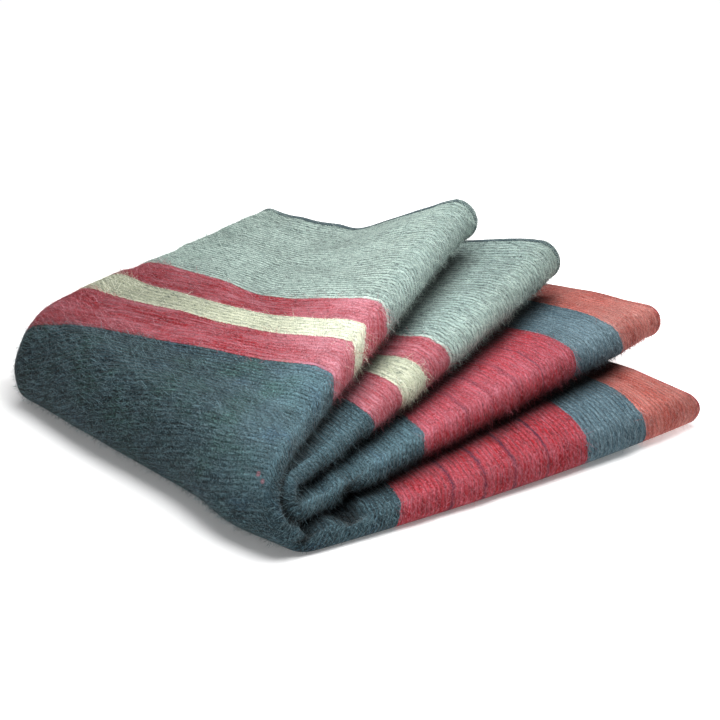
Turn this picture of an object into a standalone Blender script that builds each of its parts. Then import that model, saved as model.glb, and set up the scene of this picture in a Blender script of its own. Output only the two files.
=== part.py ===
"""Folded striped blanket: one woven and brushed cloth, lying as it was folded.

How it is folded, in order:
  1. in half across its stripes, so that two plies lie together (the fold is
     at the tips of pages 3 and 4, the two cut edges at the tips of 1 and 2);
  2. both sides in to the middle and over, which makes four two-ply layers with
     two rounded loops at the near end and one wrap round both at the left end;
  3. in half again round a thick spine, so that the loops become four pages.
The four pages are fanned out from the near corner of the spine.

Frame: metres, +Z up, the underside at z = 0, the origin under the middle of
the footprint. +X runs from the spine to the tips of the lowest page, +Y along
the spine from the near end to the left end.
"""

import collections
import math

import bmesh
import bpy
import numpy as np

# ------------------------------------------------------------------ cloth
PLY = 0.0030  # one thickness of the brushed cloth, with its pile
NEST = 0.0019  # from the middle of a two-ply layer to the middle of each ply
LAYER = 0.0094  # between the middles of two pressed layers
FLOOR_GAP = NEST + PLY / 2  # the lowest layer's middle above the underside
EDGE_STEP = 0.018  # how far the inner ply's edge lies back, as a share of a page
FREE_END = 0.870  # where the hidden sides of the cloth end, as a share of the width

# ------------------------------------------------------------------ footprint
FOOT_X, FOOT_Y = 0.2138, 0.2503  # the footprint's middle, from the spine's corner

# ------------------------------------------------------------------ pages
# The middle line of each rounded loop at the near end, from the spine (x, y,
# z_spine) out to the tip: heading in degrees, length, sideways bow, height at
# the spine, half way and at the tip, and the loop's radius at the same places.
Page = collections.namedtuple(
    "Page", "half x y heading length bow z_spine z_mid z_tip r_spine r_mid r_tip"
)
PAGES = {
    "page_1": Page("top", 0.015, 0.036, 34.6, 0.447, 0.004, 0.0745, 0.110, 0.145, 0.0054, 0.0125, 0.0155),
    "page_2": Page("top", 0.015, 0.022, 25.6, 0.488, -0.004, 0.0542, 0.075, 0.102, 0.0054, 0.0120, 0.0160),
    "page_3": Page("bottom", 0.015, 0.006, 13.2, 0.505, 0.003, 0.0284, 0.042, 0.0595, 0.0054, 0.0110, 0.0145),
    "page_4": Page("bottom", 0.015, -0.015, 2.6, 0.444, -0.009, 0.0, 0.0, 0.0, 0.0054, 0.0105, 0.0140),
}
FLARE_SPINE, FLARE_TIP = 0.06, 0.19  # how far in from a loop its two layers close up

# The left ends, where the layers turn over: position at the spine and at the
# tips, sideways bow, the height of the half's middle there, how deep the end
# sags between them, and where, from the spine (0) to the tips (1).
End = collections.namedtuple(
    "End", "x_spine y_spine x_tip y_tip bow z_spine z_tip sag sag_at"
)
ENDS = {
    "top": End(-0.037, 0.409, 0.286, 0.512, 0.015, 0.0760, 0.0900, 0.006, 0.50),
    "bottom": End(-0.052, 0.397, 0.440, 0.430, 0.004, 0.0190, 0.0240, 0.0, 0.50),
}

# The dip in each page's free edge: how deep, and where between the near end (0)
# and the left end (1).
Dip = collections.namedtuple("Dip", "depth at")
DIPS = {
    "page_1": Dip(0.024, 0.53),
    "page_2": Dip(0.013, 0.66),
    "page_3": Dip(0.0, 0.50),
    "page_4": Dip(0.0, 0.50),
}

# The spine's outer radius, and its shape beyond a plain half round: how much
# further out it stands near the corner and at the left end, and how far that
# fullness hangs low.
SPINE_RADIUS = 0.036
CORNER_OUT, LEFT_OUT = 0.008, -0.006
CORNER_AT, CORNER_WIDE = 0.13, 0.12
CORNER_HANG, LEFT_HANG = 0.008, 0.006

# ------------------------------------------------------------------ fineness
PAGE_STEPS = 9  # along each page
SPINE_STEPS = 8  # round the spine
FLAT_STEPS = 5  # across each layer
LOOP_STEPS = 6  # round each loop at the near end
WRAP_STEPS = 6  # round the left end
FOLD_STEPS = 3  # round the half-fold at the tips of pages 3 and 4


def smooth(x):
    x = np.clip(x, 0, 1)
    return x * x * (3 - 2 * x)


def rise(s, level=0.15):
    """0 to 1 along a page, level at the spine and then nearly straight."""
    return (np.sqrt(s * s + level * level) - level) / (
        math.sqrt(1 + level * level) - level
    )


def through(s, start, middle, end):
    """From start to end along a page, by the value half way."""
    half = float(rise(np.float64(0.5)))
    extra = (middle - start - (end - start) * half) / (half * (1 - half))
    f = rise(s)
    return start + (end - start) * f + extra * f * (1 - f)


def tent(y, at, soft=0.08):
    """1 at the place named, 0 at both ends, with a soft peak."""
    near, far = math.hypot(at, soft), math.hypot(1 - at, soft)
    line = near + (far - near) * y
    peak = near + (far - near) * at - soft
    return (line - np.sqrt((y - at) ** 2 + soft * soft)) / peak


def near_line(page, s):
    p = PAGES[page]
    c, d = math.cos(math.radians(p.heading)), math.sin(math.radians(p.heading))
    bow = p.bow * 4 * s * (1 - s)
    return p.x + p.length * s * c - bow * d, p.y + p.length * s * d + bow * c


def end_line(half, s):
    e = ENDS[half]
    bow = e.bow * 4 * s * (1 - s)
    return (
        e.x_spine + (e.x_tip - e.x_spine) * s,
        e.y_spine + (e.y_tip - e.y_spine) * s + bow,
    )


def loop_radius(page, s):
    p = PAGES[page]
    return through(s, p.r_spine, p.r_mid, p.r_tip)


def layer_half(page, s, y):
    """Half the distance between a page's two layers."""
    nx, ny = near_line(page, s)
    ex, ey = end_line(PAGES[page].half, s)
    reach = FLARE_SPINE + (FLARE_TIP - FLARE_SPINE) * s
    open_share = 1 - smooth(np.hypot(ex - nx, ey - ny) * y / reach)
    return LAYER / 2 + (loop_radius(page, s) - LAYER / 2) * open_share


def page_middle(page, s, y):
    """The surface half way between a page's two layers."""
    p, e = PAGES[page], ENDS[PAGES[page].half]
    nx, ny = near_line(page, s)
    ex, ey = end_line(p.half, s)
    if page == "page_4":  # lies on the floor
        z = FLOOR_GAP + layer_half(page, s, y)
    else:
        near_z = through(s, p.z_spine, p.z_mid, p.z_tip)
        up = {"page_1": LAYER, "page_2": -LAYER, "page_3": FLOOR_GAP + LAYER * 0.5 + 0.0005}
        end_z = e.z_spine + (e.z_tip - e.z_spine) * rise(s) + up[page]
        end_z = end_z - e.sag * tent(s, e.sag_at, 0.25)
        z = near_z + (end_z - near_z) * (y + smooth(y)) / 2
        z = z - DIPS[page].depth * tent(y, DIPS[page].at) * rise(s)
    return np.stack([nx + (ex - nx) * y, ny + (ey - ny) * y, z], -1)


def layer_point(page, side, s, y):
    """A point of a page's upper (side 1) or lower (side -1) layer."""
    point = page_middle(page, s, y)
    point[..., 2] += side * layer_half(page, s, y)
    return point


def loop_point(page, angle, s):
    """A point round a page's near end, from its upper layer (0) to its lower (pi)."""
    point = page_middle(page, s, np.zeros_like(s))
    radius = loop_radius(page, s)
    h = math.radians(PAGES[page].heading)
    out = radius * np.sin(angle)
    point[..., 0] += math.sin(h) * out
    point[..., 1] -= math.cos(h) * out
    point[..., 2] += radius * np.cos(angle)
    return point


def wrap_point(upper, lower, angle, s):
    """A point round the left end, from the upper page's top (0) to the lower's underside (pi)."""
    one = np.ones_like(s)
    top, under = layer_point(upper, 1, s, one), layer_point(lower, -1, s, one)
    e = ENDS[PAGES[upper].half]
    run = math.hypot(e.x_tip - e.x_spine, e.y_tip - e.y_spine)
    out = (top[..., 2] - under[..., 2]) / 2 * np.sin(angle)
    point = top + (under - top) * ((1 - np.cos(angle)) / 2)[..., None]
    point[..., 0] -= (e.y_tip - e.y_spine) / run * out
    point[..., 1] += (e.x_tip - e.x_spine) / run * out
    return point


def section():
    """The folded section across the cloth, from one hidden side to the other.
    Layers are counted from outside: 1 and 2 make pages 1 and 4, 3 and 4 make
    pages 2 and 3."""

    def run(kind, start, end, steps):
        return [(kind, v) for v in np.linspace(start, end, steps + 1)[:-1]]

    return (
        run("layer_2", FREE_END, 0, FLAT_STEPS)
        + run("outer_loop", math.pi, 0, LOOP_STEPS)
        + run("layer_1", 0, 1, FLAT_STEPS)
        + run("wrap", 0, math.pi, WRAP_STEPS)
        + run("layer_4", 1, 0, FLAT_STEPS)
        + run("inner_loop", math.pi, 0, LOOP_STEPS)
        + run("layer_3", 0, FREE_END, FLAT_STEPS)
        + [("layer_3", FREE_END)]
    )


def half_line(half, kind, value, s):
    """One place of the section, all along the top or the bottom half."""
    v = np.full_like(s, value)
    top = half == "top"
    outer, inner = ("page_1", "page_2") if top else ("page_4", "page_3")
    up = 1 if top else -1
    if kind == "layer_1":
        return layer_point(outer, up, s, v)
    if kind == "layer_2":
        return layer_point(outer, -up, s, v)
    if kind == "layer_3":
        return layer_point(inner, up, s, v)
    if kind == "layer_4":
        return layer_point(inner, -up, s, v)
    turn = v if top else math.pi - v
    if kind == "outer_loop":
        return loop_point(outer, turn, s)
    if kind == "inner_loop":
        return loop_point(inner, turn, s)
    return wrap_point(*(("page_1", "page_2") if top else ("page_3", "page_4")), turn, s)


def spine_arc(kind, value, top, bottom, angles):
    """From the top half round the spine to the bottom half."""
    y = value if kind.startswith("layer") else float(kind == "wrap")
    near = math.exp(-(((y - CORNER_AT) / CORNER_WIDE) ** 2))
    left = float(smooth((y - 0.6) / 0.4))
    extra = CORNER_OUT * near + LEFT_OUT * left
    hang = CORNER_HANG * near + LEFT_HANG * left
    start, end = top[0], bottom[0]
    outs = []
    for line in (top, bottom):
        d = line[0] - line[1]
        d[2] = 0
        outs.append(d / np.linalg.norm(d))
    radius = (start[2] - end[2]) / 2
    points = []
    for a in angles:
        out = outs[0] * (1 - a / math.pi) + outs[1] * (a / math.pi)
        out = out / np.linalg.norm(out)
        fullness = extra * math.sin(a) - hang * math.cos(a) * math.sin(a) ** 2
        reach = radius * math.sin(a) + fullness * radius / SPINE_RADIUS
        points.append(start + (end - start) * (1 - math.cos(a)) / 2 + out * reach)
    return np.array(points)


def layer_middles():
    """The middles of the two-ply layers, as [along the cloth, across it, xyz]."""
    s = np.linspace(0, 1, PAGE_STEPS + 1)
    angles = np.linspace(0, math.pi, SPINE_STEPS + 1)[1:-1]
    lines = []
    for kind, value in section():
        top = half_line("top", kind, value, s)
        bottom = half_line("bottom", kind, value, s)
        arc = spine_arc(kind, value, top, bottom, angles)
        lines.append(np.concatenate([top[::-1], arc, bottom]))
    return np.stack(lines, 1)


def unit(v):
    return v / np.linalg.norm(v, axis=-1, keepdims=True)


def directions(points, axis):
    """The direction of the grid lines at each point, half way between the
    directions of the steps before and after it."""
    lines = np.moveaxis(points, axis, 0)
    steps = unit(np.diff(lines, axis=0))
    before = np.concatenate([steps[:1], steps])
    after = np.concatenate([steps, steps[-1:]])
    return np.moveaxis(unit(before + after), 0, axis)


def cloth_middle():
    """The middle of the single cloth, as [along it, across it, xyz]: out along
    the outer ply, round the half-fold at the tips of pages 3 and 4, and back
    along the inner ply."""
    base = layer_middles()
    outward = unit(np.cross(directions(base, 1), directions(base, 0)))
    outer = base + outward * NEST
    inner = base - outward * NEST
    back = base[0] + (base[1] - base[0]) * (EDGE_STEP * PAGE_STEPS)
    inner[0] = back - outward[0] * NEST
    past = unit(base[-1] - base[-2])
    turn = [
        base[-1] + outward[-1] * NEST * math.cos(a) + past * NEST * math.sin(a)
        for a in np.linspace(0, math.pi, FOLD_STEPS + 1)[1:-1]
    ]
    cloth = np.concatenate([outer, np.array(turn), inner[::-1]])
    return cloth - np.array([FOOT_X, FOOT_Y, 0.0])


def cloth_material():
    mat = bpy.data.materials.new("brushed_alpaca")
    mat.use_nodes = True
    shader = mat.node_tree.nodes["Principled BSDF"]
    shader.inputs["Base Color"].default_value = (0.09, 0.13, 0.135, 1.0)
    shader.inputs["Roughness"].default_value = 0.92
    shader.inputs["Metallic"].default_value = 0.0
    return mat


def build():
    for obj in list(bpy.data.objects):
        bpy.data.objects.remove(obj, do_unlink=True)
    group = bpy.data.collections.new("folded_alpaca_blanket")
    bpy.context.scene.collection.children.link(group)

    folded = cloth_middle()
    rows, columns = folded.shape[:2]

    # The flat cloth, with each of its points then moved to its folded place.
    bm = bmesh.new()
    bmesh.ops.create_grid(bm, x_segments=rows - 1, y_segments=columns - 1, size=1.0)
    for vert in bm.verts:
        i = round((vert.co.x + 1) / 2 * (rows - 1))
        j = round((vert.co.y + 1) / 2 * (columns - 1))
        vert.co = folded[i, j]
    mesh = bpy.data.meshes.new("blanket")
    bm.to_mesh(mesh)
    bm.free()
    mesh.shade_smooth()

    blanket = bpy.data.objects.new("blanket", mesh)
    group.objects.link(blanket)
    blanket.data.materials.append(cloth_material())
    thickness = blanket.modifiers.new("cloth_thickness", "SOLIDIFY")
    thickness.thickness = PLY
    thickness.offset = 0.0
    # Plies that lie together are split along the same diagonals, so they stay apart.
    diagonals = blanket.modifiers.new("even_diagonals", "TRIANGULATE")
    diagonals.quad_method = "SHORTEST_DIAGONAL"


build()
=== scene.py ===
"""The looks of the folded striped blanket.

The cloth is one thin closed sheet on the folds of the CAD solid, at finer steps.
On it lie the brushed pile, as joined ribbon hairs, and the overlock stitching
of the two cut edges. Stripes, ribs and yarn are procedural, in the cloth's own
flat coordinates (UV map "cloth", in metres)."""

import collections
import math

import bpy
import numpy as np
from mathutils import Euler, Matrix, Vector
from mathutils.bvhtree import BVHTree


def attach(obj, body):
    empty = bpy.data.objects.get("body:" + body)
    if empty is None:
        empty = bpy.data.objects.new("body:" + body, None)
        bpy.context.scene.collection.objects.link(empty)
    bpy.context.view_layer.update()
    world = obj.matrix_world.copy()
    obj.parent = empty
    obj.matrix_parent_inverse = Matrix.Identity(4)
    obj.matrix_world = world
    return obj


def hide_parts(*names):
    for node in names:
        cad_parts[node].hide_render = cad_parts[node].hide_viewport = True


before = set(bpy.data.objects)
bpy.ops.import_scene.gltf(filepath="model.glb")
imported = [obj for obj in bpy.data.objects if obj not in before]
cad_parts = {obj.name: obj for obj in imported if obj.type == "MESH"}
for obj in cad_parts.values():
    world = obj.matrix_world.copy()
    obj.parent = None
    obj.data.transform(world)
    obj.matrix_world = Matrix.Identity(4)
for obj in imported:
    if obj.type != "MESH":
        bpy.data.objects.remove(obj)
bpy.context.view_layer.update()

# ------------------------------------------------------------------ the fold
# The same sizes and functions as the CAD solid's, so the cloth lies where it does.
PLY = 0.0030
NEST = 0.0019
LAYER = 0.0094
FLOOR_GAP = NEST + PLY / 2
EDGE_STEP = 0.018
FREE_END = 0.870
FOOT_X, FOOT_Y = 0.2138, 0.2503

Page = collections.namedtuple(
    "Page", "half x y heading length bow z_spine z_mid z_tip r_spine r_mid r_tip"
)
PAGES = {
    "page_1": Page("top", 0.015, 0.036, 34.6, 0.447, 0.004, 0.0745, 0.110, 0.145, 0.0054, 0.0125, 0.0155),
    "page_2": Page("top", 0.015, 0.022, 25.6, 0.488, -0.004, 0.0542, 0.075, 0.102, 0.0054, 0.0120, 0.0160),
    "page_3": Page("bottom", 0.015, 0.006, 13.2, 0.505, 0.003, 0.0284, 0.042, 0.0595, 0.0054, 0.0110, 0.0145),
    "page_4": Page("bottom", 0.015, -0.015, 2.6, 0.444, -0.009, 0.0, 0.0, 0.0, 0.0054, 0.0105, 0.0140),
}
FLARE_SPINE, FLARE_TIP = 0.06, 0.19
End = collections.namedtuple(
    "End", "x_spine y_spine x_tip y_tip bow z_spine z_tip sag sag_at"
)
ENDS = {
    "top": End(-0.037, 0.409, 0.286, 0.512, 0.015, 0.0760, 0.0900, 0.006, 0.50),
    "bottom": End(-0.052, 0.397, 0.440, 0.430, 0.004, 0.0190, 0.0240, 0.0, 0.50),
}
Dip = collections.namedtuple("Dip", "depth at")
DIPS = {
    "page_1": Dip(0.024, 0.53),
    "page_2": Dip(0.013, 0.66),
    "page_3": Dip(0.0, 0.50),
    "page_4": Dip(0.0, 0.50),
}
SPINE_RADIUS = 0.036
CORNER_OUT, LEFT_OUT = 0.008, -0.006
CORNER_AT, CORNER_WIDE = 0.13, 0.12
CORNER_HANG, LEFT_HANG = 0.008, 0.006


def smooth(x):
    x = np.clip(x, 0, 1)
    return x * x * (3 - 2 * x)


def rise(s, level=0.15):
    return (np.sqrt(s * s + level * level) - level) / (
        math.sqrt(1 + level * level) - level
    )


def through(s, start, middle, end):
    half = float(rise(np.float64(0.5)))
    extra = (middle - start - (end - start) * half) / (half * (1 - half))
    f = rise(s)
    return start + (end - start) * f + extra * f * (1 - f)


def tent(y, at, soft=0.08):
    near, far = math.hypot(at, soft), math.hypot(1 - at, soft)
    line = near + (far - near) * y
    peak = near + (far - near) * at - soft
    return (line - np.sqrt((y - at) ** 2 + soft * soft)) / peak


def near_line(page, s):
    p = PAGES[page]
    c, d = math.cos(math.radians(p.heading)), math.sin(math.radians(p.heading))
    bow = p.bow * 4 * s * (1 - s)
    return p.x + p.length * s * c - bow * d, p.y + p.length * s * d + bow * c


def end_line(half, s):
    e = ENDS[half]
    bow = e.bow * 4 * s * (1 - s)
    return (
        e.x_spine + (e.x_tip - e.x_spine) * s,
        e.y_spine + (e.y_tip - e.y_spine) * s + bow,
    )


def loop_radius(page, s):
    p = PAGES[page]
    return through(s, p.r_spine, p.r_mid, p.r_tip)


def layer_half(page, s, y):
    nx, ny = near_line(page, s)
    ex, ey = end_line(PAGES[page].half, s)
    reach = FLARE_SPINE + (FLARE_TIP - FLARE_SPINE) * s
    open_share = 1 - smooth(np.hypot(ex - nx, ey - ny) * y / reach)
    return LAYER / 2 + (loop_radius(page, s) - LAYER / 2) * open_share


def page_middle(page, s, y):
    p, e = PAGES[page], ENDS[PAGES[page].half]
    nx, ny = near_line(page, s)
    ex, ey = end_line(p.half, s)
    if page == "page_4":
        z = FLOOR_GAP + layer_half(page, s, y)
    else:
        near_z = through(s, p.z_spine, p.z_mid, p.z_tip)
        up = {"page_1": LAYER, "page_2": -LAYER, "page_3": FLOOR_GAP + LAYER * 0.5 + 0.0005}
        end_z = e.z_spine + (e.z_tip - e.z_spine) * rise(s) + up[page]
        end_z = end_z - e.sag * tent(s, e.sag_at, 0.25)
        z = near_z + (end_z - near_z) * (y + smooth(y)) / 2
        z = z - DIPS[page].depth * tent(y, DIPS[page].at) * rise(s)
    return np.stack([nx + (ex - nx) * y, ny + (ey - ny) * y, z], -1)


def layer_point(page, side, s, y):
    point = page_middle(page, s, y)
    point[..., 2] += side * layer_half(page, s, y)
    return point


def loop_point(page, angle, s):
    point = page_middle(page, s, np.zeros_like(s))
    radius = loop_radius(page, s)
    h = math.radians(PAGES[page].heading)
    out = radius * np.sin(angle)
    point[..., 0] += math.sin(h) * out
    point[..., 1] -= math.cos(h) * out
    point[..., 2] += radius * np.cos(angle)
    return point


def wrap_point(upper, lower, angle, s):
    one = np.ones_like(s)
    top, under = layer_point(upper, 1, s, one), layer_point(lower, -1, s, one)
    e = ENDS[PAGES[upper].half]
    run = math.hypot(e.x_tip - e.x_spine, e.y_tip - e.y_spine)
    out = (top[..., 2] - under[..., 2]) / 2 * np.sin(angle)
    point = top + (under - top) * ((1 - np.cos(angle)) / 2)[..., None]
    point[..., 0] -= (e.y_tip - e.y_spine) / run * out
    point[..., 1] += (e.x_tip - e.x_spine) / run * out
    return point


def half_line(half, kind, value, s):
    v = np.full_like(s, value)
    top = half == "top"
    outer, inner = ("page_1", "page_2") if top else ("page_4", "page_3")
    up = 1 if top else -1
    if kind == "layer_1":
        return layer_point(outer, up, s, v)
    if kind == "layer_2":
        return layer_point(outer, -up, s, v)
    if kind == "layer_3":
        return layer_point(inner, up, s, v)
    if kind == "layer_4":
        return layer_point(inner, -up, s, v)
    turn = v if top else math.pi - v
    if kind == "outer_loop":
        return loop_point(outer, turn, s)
    if kind == "inner_loop":
        return loop_point(inner, turn, s)
    return wrap_point(*(("page_1", "page_2") if top else ("page_3", "page_4")), turn, s)


def spine_arc(kind, value, top, bottom, angles):
    y = value if kind.startswith("layer") else float(kind == "wrap")
    near = math.exp(-(((y - CORNER_AT) / CORNER_WIDE) ** 2))
    left = float(smooth((y - 0.6) / 0.4))
    extra = CORNER_OUT * near + LEFT_OUT * left
    hang = CORNER_HANG * near + LEFT_HANG * left
    start, end = top[0], bottom[0]
    outs = []
    for line in (top, bottom):
        d = line[0] - line[1]
        d[2] = 0
        outs.append(d / np.linalg.norm(d))
    radius = (start[2] - end[2]) / 2
    points = []
    for a in angles:
        out = outs[0] * (1 - a / math.pi) + outs[1] * (a / math.pi)
        out = out / np.linalg.norm(out)
        fullness = extra * math.sin(a) - hang * math.cos(a) * math.sin(a) ** 2
        reach = radius * math.sin(a) + fullness * radius / SPINE_RADIUS
        points.append(start + (end - start) * (1 - math.cos(a)) / 2 + out * reach)
    return np.array(points)


def unit(v):
    return v / np.linalg.norm(v, axis=-1, keepdims=True)


def directions(points, axis):
    lines = np.moveaxis(points, axis, 0)
    steps = unit(np.diff(lines, axis=0))
    before = np.concatenate([steps[:1], steps])
    after = np.concatenate([steps, steps[-1:]])
    return np.moveaxis(unit(before + after), 0, axis)


# ------------------------------------------------------------------ fine steps
# Steps across the cloth, from one hidden side to the other.
Run = collections.namedtuple("Run", "kind start end steps")
RUNS = [
    Run("layer_2", FREE_END, 0.0, 20),
    Run("outer_loop", math.pi, 0.0, 22),
    Run("layer_1", 0.0, 1.0, 60),
    Run("wrap", 0.0, math.pi, 18),
    Run("layer_4", 1.0, 0.0, 38),
    Run("inner_loop", math.pi, 0.0, 20),
    Run("layer_3", 0.0, FREE_END, 24),
]
OUTER_PAGE_STEPS, OUTER_SPINE_STEPS = 56, 32
INNER_PAGE_STEPS, INNER_SPINE_STEPS = 22, 14
FOLD_STEPS = 5
SPINE_SHARE = 0.25  # the spine's stretch of the cloth, in page lengths


def section():
    """(kind, value, place across: whole numbers where the runs meet)."""
    out = []
    for n, run in enumerate(RUNS):
        for k in range(run.steps):
            f = k / run.steps
            out.append((run.kind, run.start + (run.end - run.start) * f, n + f))
    out.append((RUNS[-1].kind, RUNS[-1].end, float(len(RUNS))))
    return out


SECTION = section()


def layer_middles(page_steps, spine_steps, crowd=1.0):
    """([along, across, xyz], the place of each row along the cloth: -1 at the
    top tips, 0 to SPINE_SHARE round the spine, 1 + SPINE_SHARE at the bottom tips)."""
    s = np.linspace(0, 1, page_steps + 1) ** crowd
    angles = np.linspace(0, math.pi, spine_steps + 1)[1:-1]
    lines = []
    for kind, value, _ in SECTION:
        top = half_line("top", kind, value, s)
        bottom = half_line("bottom", kind, value, s)
        arc = spine_arc(kind, value, top, bottom, angles)
        lines.append(np.concatenate([top[::-1], arc, bottom]))
    place = np.concatenate([-s[::-1], angles / math.pi * SPINE_SHARE, SPINE_SHARE + s])
    return np.stack(lines, 1), place


# ------------------------------------------------------------------ stripes
# Where the colours change along the flat cloth, in metres from its cut edge to
# the half-fold; the other half of the cloth mirrors it.
HALF_LENGTH = 1.032
CHANGES = [0.0, 0.214, 0.258, 0.288, 0.339, 0.672, 0.890, 0.960, HALF_LENGTH]

# Where the same changes lie on the fold, read off the photo: the place across
# the cloth (run number and share of the run), then the share of the page from
# the spine (0) to the tip (1).
TopPlace = collections.namedtuple(
    "TopPlace", "across mint_red red_cream cream_red red_slate"
)
TOP_PLACES = [
    TopPlace(0.00, 0.470, 0.360, 0.290, 0.180),
    TopPlace(1.00, 0.475, 0.345, 0.300, 0.195),
    TopPlace(1.60, 0.499, 0.365, 0.325, 0.222),
    TopPlace(1.75, 0.514, 0.392, 0.347, 0.240),
    TopPlace(1.90, 0.530, 0.435, 0.371, 0.262),
    TopPlace(2.00, 0.537, 0.446, 0.382, 0.272),
    TopPlace(2.07, 0.544, 0.450, 0.380, 0.276),
    TopPlace(2.30, 0.526, 0.423, 0.350, 0.232),
    TopPlace(2.50, 0.512, 0.406, 0.320, 0.176),
    TopPlace(2.68, 0.522, 0.382, 0.297, 0.108),
    TopPlace(2.80, 0.516, 0.363, 0.253, 0.054),
    TopPlace(2.86, 0.507, 0.349, 0.230, 0.012),
    TopPlace(2.92, 0.497, 0.334, 0.207, -0.019),
    TopPlace(3.00, 0.465, 0.295, 0.165, -0.044),
    TopPlace(3.20, 0.440, 0.260, 0.125, -0.060),
    TopPlace(4.00, 0.430, 0.260, 0.150, -0.010),
    TopPlace(5.00, 0.500, 0.400, 0.320, 0.240),
    TopPlace(5.47, 0.525, 0.426, 0.345, 0.249),
    TopPlace(5.68, 0.526, 0.428, 0.350, 0.249),
    TopPlace(6.00, 0.530, 0.439, 0.360, 0.250),
    TopPlace(6.06, 0.550, 0.449, 0.374, 0.265),
    TopPlace(6.13, 0.532, 0.438, 0.374, 0.270),
    TopPlace(7.00, 0.530, 0.430, 0.360, 0.260),
]
BottomPlace = collections.namedtuple(
    "BottomPlace", "across slate_crimson crimson_blue blue_terracotta"
)
BOTTOM_PLACES = [
    BottomPlace(0.00, 0.300, 0.800, 0.950),
    BottomPlace(0.74, 0.270, 0.775, 0.918),
    BottomPlace(0.84, 0.255, 0.748, 0.905),
    BottomPlace(0.92, 0.238, 0.723, 0.880),
    BottomPlace(1.00, 0.205, 0.690, 0.848),
    BottomPlace(1.36, 0.186, 0.674, 0.839),
    BottomPlace(1.61, 0.182, 0.672, 0.838),
    BottomPlace(2.00, 0.180, 0.670, 0.838),
    BottomPlace(3.00, 0.440, 0.780, 0.900),
    BottomPlace(4.00, 0.420, 0.800, 0.920),
    BottomPlace(4.70, 0.350, 0.769, 0.907),
    BottomPlace(4.90, 0.349, 0.768, 0.893),
    BottomPlace(5.00, 0.326, 0.750, 0.873),
    BottomPlace(5.32, 0.305, 0.738, 0.869),
    BottomPlace(5.65, 0.300, 0.730, 0.877),
    BottomPlace(6.00, 0.290, 0.720, 0.880),
    BottomPlace(7.00, 0.290, 0.720, 0.880),
]


def along_cloth(base, place):
    """The flat cloth's length coordinate at each [row, column]: the changes come
    from the tables, and between them it grows evenly with the length of cloth."""
    across = np.array([c[2] for c in SECTION])
    tops, bottoms = np.array(TOP_PLACES), np.array(BOTTOM_PLACES)
    marks = [np.full_like(across, -1.0)]
    marks += [-np.interp(across, tops[:, 0], tops[:, k]) for k in range(1, 5)]
    marks += [
        SPINE_SHARE + np.interp(across, bottoms[:, 0], bottoms[:, k])
        for k in range(1, 4)
    ]
    marks += [np.full_like(across, 1 + SPINE_SHARE)]
    marks = np.array(marks)
    steps = np.linalg.norm(np.diff(base, axis=0), axis=2)
    far = np.concatenate([np.zeros((1, len(across))), np.cumsum(steps, axis=0)])
    lines = []
    for j in range(len(across)):
        at = np.interp(marks[:, j], place, far[:, j])
        lines.append(np.interp(far[:, j], at, CHANGES))
    return np.stack(lines, 1)


# ------------------------------------------------------------------ creases
# Soft ridges (+) and troughs (-), placed in the flat cloth: each runs
# from (u, v) to (u_end, v_end), all in metres; the other half mirrors them.
Crease = collections.namedtuple("Crease", "u v u_end v_end width depth")
CREASES = [
    # the near corner, where page 4 wrinkles away from page 3
    Crease(0.278, 0.608, 0.322, 0.614, 0.0130, -0.0125),
    Crease(0.314, 0.586, 0.328, 0.586, 0.0090, 0.0022),
    Crease(0.318, 0.640, 0.332, 0.644, 0.0130, 0.0024),
    Crease(0.308, 0.5560, 0.345, 0.5610, 0.0046, -0.0066),
    Crease(0.326, 0.541, 0.338, 0.543, 0.0065, 0.0042),
    Crease(0.345, 0.552, 0.352, 0.575, 0.0070, -0.0014),
    Crease(0.298, 0.536, 0.314, 0.551, 0.0065, -0.0076),
    # page 3's edge near its root
    Crease(1.164, 0.567, 1.186, 0.575, 0.0105, -0.0078),
    Crease(1.136, 0.522, 1.162, 0.527, 0.0060, -0.0030),
    Crease(1.136, 0.545, 1.158, 0.550, 0.0070, 0.0024),
    Crease(1.132, 0.574, 1.156, 0.580, 0.0090, -0.0036),
    Crease(1.146, 0.604, 1.170, 0.610, 0.0120, 0.0018),
    # the far end of page 1 and its left shoulder
    Crease(0.735, 0.300, 0.735, 0.250, 0.0190, 0.0055),
    Crease(0.600, 0.000, 0.670, 0.000, 0.0250, 0.0036),
    Crease(0.335, 0.000, 0.380, 0.010, 0.0200, 0.0030),
    # soft creases on the open face of page 1
    Crease(0.640, 0.165, 0.520, 0.105, 0.0100, -0.0014),
    Crease(0.560, 0.080, 0.430, 0.050, 0.0120, 0.0014),
    Crease(0.450, 0.110, 0.390, 0.075, 0.0090, -0.0012),
    Crease(0.430, 0.245, 0.400, 0.255, 0.0040, 0.0008),
    Crease(0.600, 0.420, 0.450, 0.440, 0.0150, 0.0014),
    Crease(0.640, 0.470, 0.480, 0.500, 0.0140, -0.0012),
    # the half-folded ends of pages 3 and 4
    Crease(1.060, 1.032, 1.000, 1.032, 0.0350, 0.0030),
    Crease(1.130, 1.032, 1.180, 1.020, 0.0260, -0.0020),
    Crease(0.250, 1.032, 0.210, 1.032, 0.0300, 0.0045),
    # page 2's far edge
    Crease(1.210, 0.000, 1.330, 0.000, 0.0300, 0.0036),
]
# Slow unevenness of the whole cloth: waves per metre along u and v, start, height.
Wave = collections.namedtuple("Wave", "per_u per_v start height")
WAVES = [
    Wave(7.0, 4.0, 0.3, 0.00045),
    Wave(3.1, 13.0, 1.7, 0.00050),
    Wave(11.0, 17.0, 4.1, 0.00030),
    Wave(5.0, 29.0, 2.6, 0.00035),
]


# The half-folded ends of pages 3 and 4 run to a soft point at their near corner.
Point = collections.namedtuple("Point", "across wide reach fade")
POINTS = [
    Point(1.45, 0.34, 0.0080, 0.018),
    Point(5.30, 0.25, 0.0020, 0.014),
]


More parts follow.
